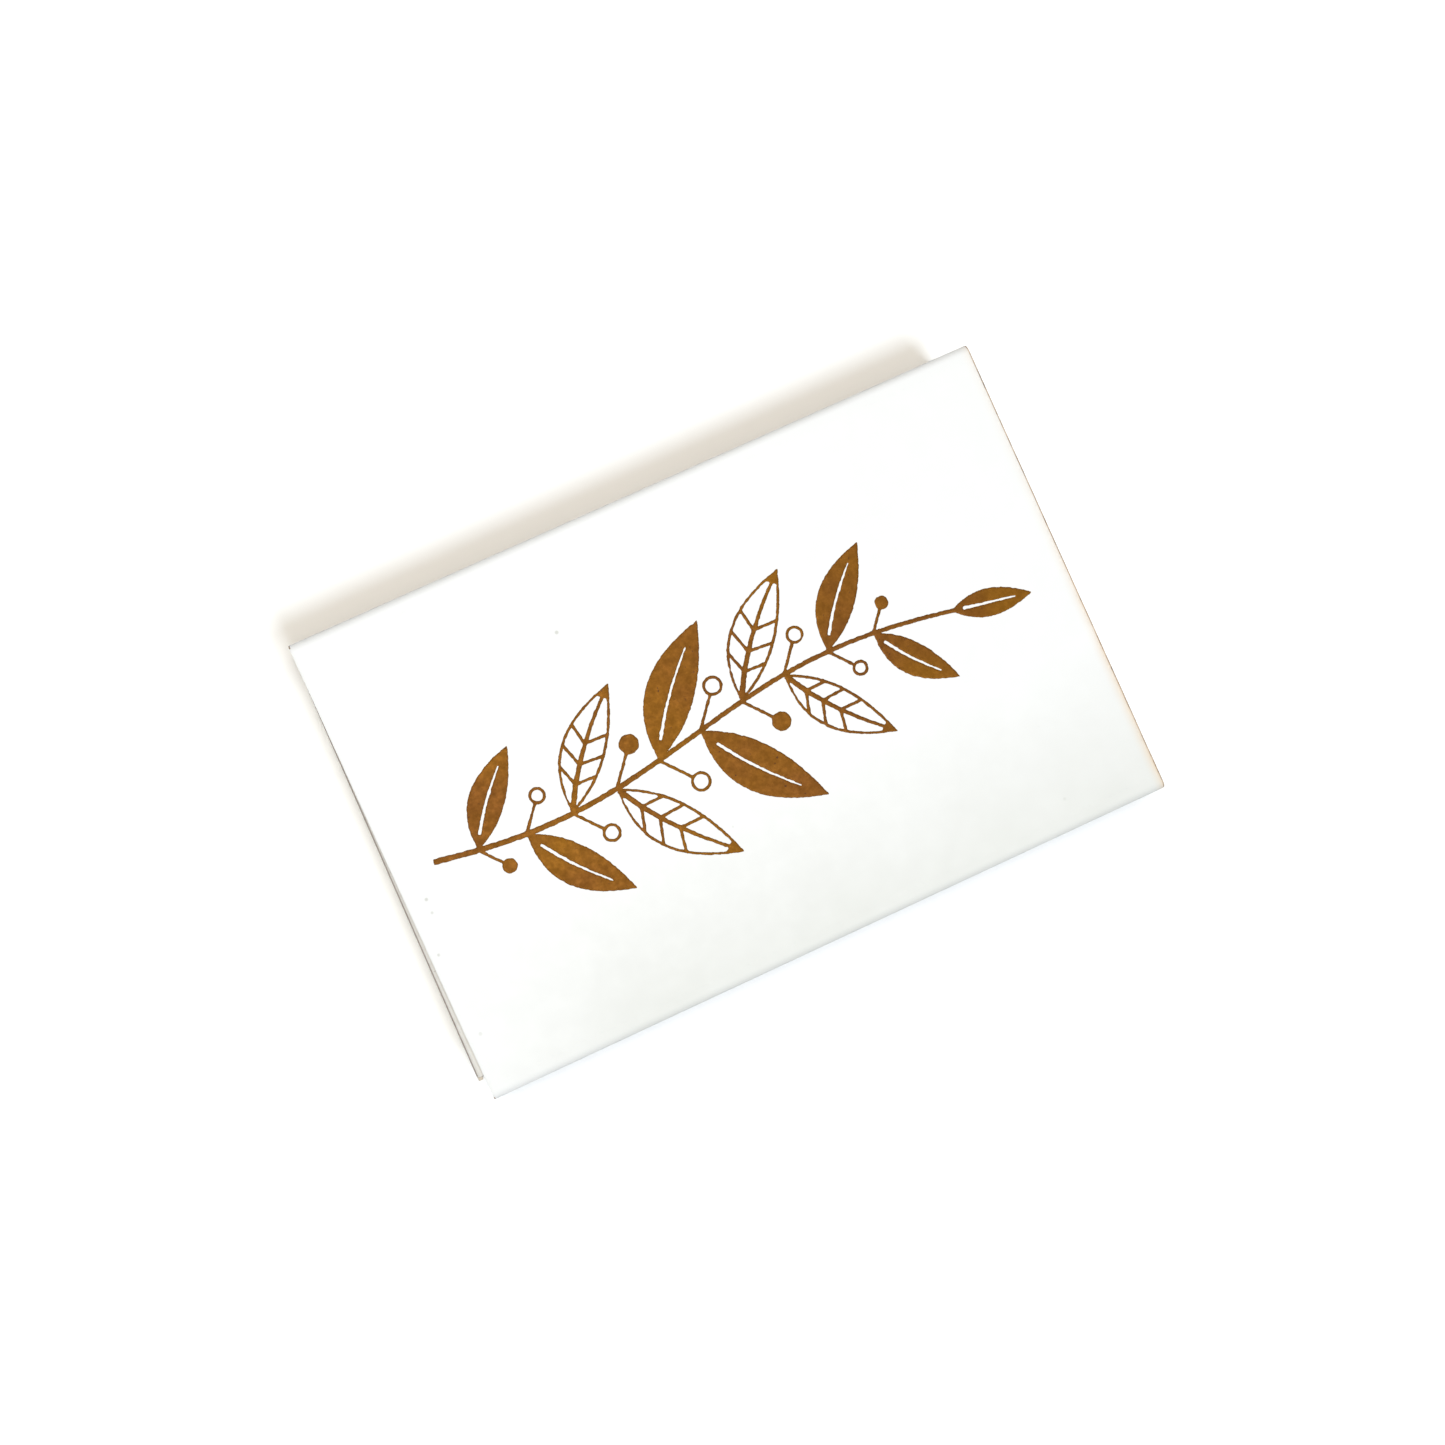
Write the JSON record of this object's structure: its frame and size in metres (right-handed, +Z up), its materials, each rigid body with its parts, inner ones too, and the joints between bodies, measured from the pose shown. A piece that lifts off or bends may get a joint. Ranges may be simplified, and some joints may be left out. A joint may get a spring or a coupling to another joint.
{
  "type": "box of matches",
  "caption": "Small white card box of safety matches: a glued sleeve with a foil-stamped leafy sprig, a sliding tray with rolled ends, and wooden matches inside.",
  "frame": {"origin": "middle of the sleeve's bottom face, on the surface that the box lies on", "axes": "+X along the box, towards the match heads; +Y across it, towards the glued back wall; +Z up"},
  "size_m": [0.0535, 0.0352, 0.0121],
  "materials": {
    "sleeve_card": "coated, satin white",
    "tray_card": "uncoated, matt",
    "striker": "gritty, matt",
    "foil": "stamped copper-gold foil, satin",
    "splint_wood": "raw pale wood",
    "match_head": "dipped, matt and grainy"
  },
  "bodies": {
    "sleeve": {"sleeve": "sleeve_card", "striker_front": "striker", "striker_back": "striker", "foil_sprig": "foil"},
    "tray": {"tray": "tray_card", "match_01_splint": "splint_wood", "match_02_splint": "splint_wood", "match_03_splint": "splint_wood", "match_04_splint": "splint_wood", "match_05_splint": "splint_wood", "match_06_splint": "splint_wood", "match_07_splint": "splint_wood", "match_08_splint": "splint_wood", "match_09_splint": "splint_wood", "match_10_splint": "splint_wood", "match_11_splint": "splint_wood", "match_12_splint": "splint_wood", "match_13_splint": "splint_wood", "match_14_splint": "splint_wood", "match_15_splint": "splint_wood", "match_16_splint": "splint_wood", "match_17_splint": "splint_wood", "match_18_splint": "splint_wood", "match_19_splint": "splint_wood", "match_20_splint": "splint_wood", "match_21_splint": "splint_wood", "match_22_splint": "splint_wood", "match_01_head": "match_head", "match_02_head": "match_head", "match_03_head": "match_head", "match_04_head": "match_head", "match_05_head": "match_head", "match_06_head": "match_head", "match_07_head": "match_head", "match_08_head": "match_head", "match_09_head": "match_head", "match_10_head": "match_head", "match_11_head": "match_head", "match_12_head": "match_head", "match_13_head": "match_head", "match_14_head": "match_head", "match_15_head": "match_head", "match_16_head": "match_head", "match_17_head": "match_head", "match_18_head": "match_head", "match_19_head": "match_head", "match_20_head": "match_head", "match_21_head": "match_head", "match_22_head": "match_head"}
  },
  "joints": [
    {"name": "tray_slide", "type": "slide", "parent": "sleeve", "child": "tray", "axis": [1, 0, 0], "range_m": [-0.0525, 0.0525]}
  ]
}
